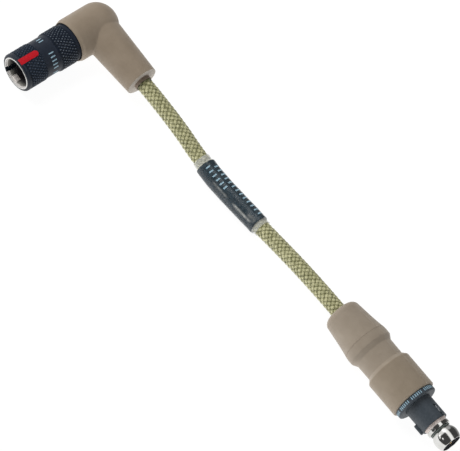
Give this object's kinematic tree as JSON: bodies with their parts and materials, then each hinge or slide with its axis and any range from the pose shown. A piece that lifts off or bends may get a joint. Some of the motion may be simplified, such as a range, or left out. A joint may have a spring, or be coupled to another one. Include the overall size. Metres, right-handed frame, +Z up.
{
  "type": "right-angle adapter cable",
  "caption": "Short textile-braided adapter cable from a right-angle knurled push-pull coupler to a straight keyed snap-in plug.",
  "frame": {"origin": "on the table, under the middle of the box round the two connectors", "axes": "+X along the cable from the elbow to the plug's nose, -Y out of the coupler's mouth, +Z up"},
  "size_m": [0.1976, 0.0428, 0.0166],
  "materials": {
    "black_sleeve": "blue-black anodised, satin, with diamond knurl",
    "red_fill": "smooth red resin let into the knurl",
    "bright_nickel": "bright nickel plating on aluminium",
    "spring_steel": "plain spring steel",
    "ball_steel": "polished steel",
    "insulator": "black moulded plastic",
    "gold": "gold plating on copper alloy",
    "black_rubber": "black sealing rubber",
    "backshell_metal": "plain turned aluminium",
    "tan_rubber": "matt tan moulded rubber",
    "olive_braid": "woven olive textile braid",
    "cable_jacket": "black cable jacket",
    "screen_braid": "tinned wire screen",
    "wire_insulation": "coloured wire insulation",
    "marker_sleeve": "blue-black shrink sleeve",
    "clear_shrink": "clear shrink tube, glossy",
    "black_plug": "black plated, satin",
    "nose_nickel": "bright nickel plating"
  },
  "bodies": {
    "cable_assembly": {"coupler_barrel": "bright_nickel", "sleeve_spring": "spring_steel", "spring_stop_ring": "spring_steel", "pin_insulator": "insulator", "insulator_ring": "spring_steel", "pin_contacts": "gold", "face_seal": "black_rubber", "elbow_backshell": "backshell_metal", "elbow_shield_band": "spring_steel", "elbow_overmold": "tan_rubber", "braid_sleeve": "olive_braid", "cable_jacket": "cable_jacket", "shield_braid": "screen_braid", "wires": "wire_insulation", "marker_sleeve": "marker_sleeve", "clear_shrink": "clear_shrink", "straight_overmold": "tan_rubber", "plug_backshell": "backshell_metal", "plug_shield_band": "spring_steel", "plug_flange": "black_plug", "keyed_barrel": "black_plug", "barrel_nut": "backshell_metal", "snap_nose": "nose_nickel", "nose_seal": "black_rubber", "socket_insulator": "insulator", "socket_contacts": "gold"},
    "sleeve": {"coupling_sleeve": "black_sleeve", "alignment_stripe": "red_fill"},
    "ball_1": {"lock_ball_1": "ball_steel"},
    "ball_2": {"lock_ball_2": "ball_steel"},
    "ball_3": {"lock_ball_3": "ball_steel"}
  },
  "joints": [
    {"name": "sleeve_slide", "type": "slide", "parent": "cable_assembly", "child": "sleeve", "axis": [0, 1, 0], "range_m": [0, 0.0008], "stiffness_N_per_m": 500, "deforming": ["sleeve_spring"]},
    {"name": "ball_1_slide", "type": "slide", "parent": "cable_assembly", "child": "ball_1", "axis": [0, 0, 1], "range_m": [0, 0.00025]},
    {"name": "ball_2_slide", "type": "slide", "parent": "cable_assembly", "child": "ball_2", "axis": [-0.866, 0, -0.5], "range_m": [0, 0.00025]},
    {"name": "ball_3_slide", "type": "slide", "parent": "cable_assembly", "child": "ball_3", "axis": [0.866, 0, -0.5], "range_m": [0, 0.00025]}
  ],
  "couplings": [
    {"joint": "ball_1_slide", "follows": "sleeve_slide", "ratio": 0.3125},
    {"joint": "ball_2_slide", "follows": "sleeve_slide", "ratio": 0.3125},
    {"joint": "ball_3_slide", "follows": "sleeve_slide", "ratio": 0.3125}
  ]
}
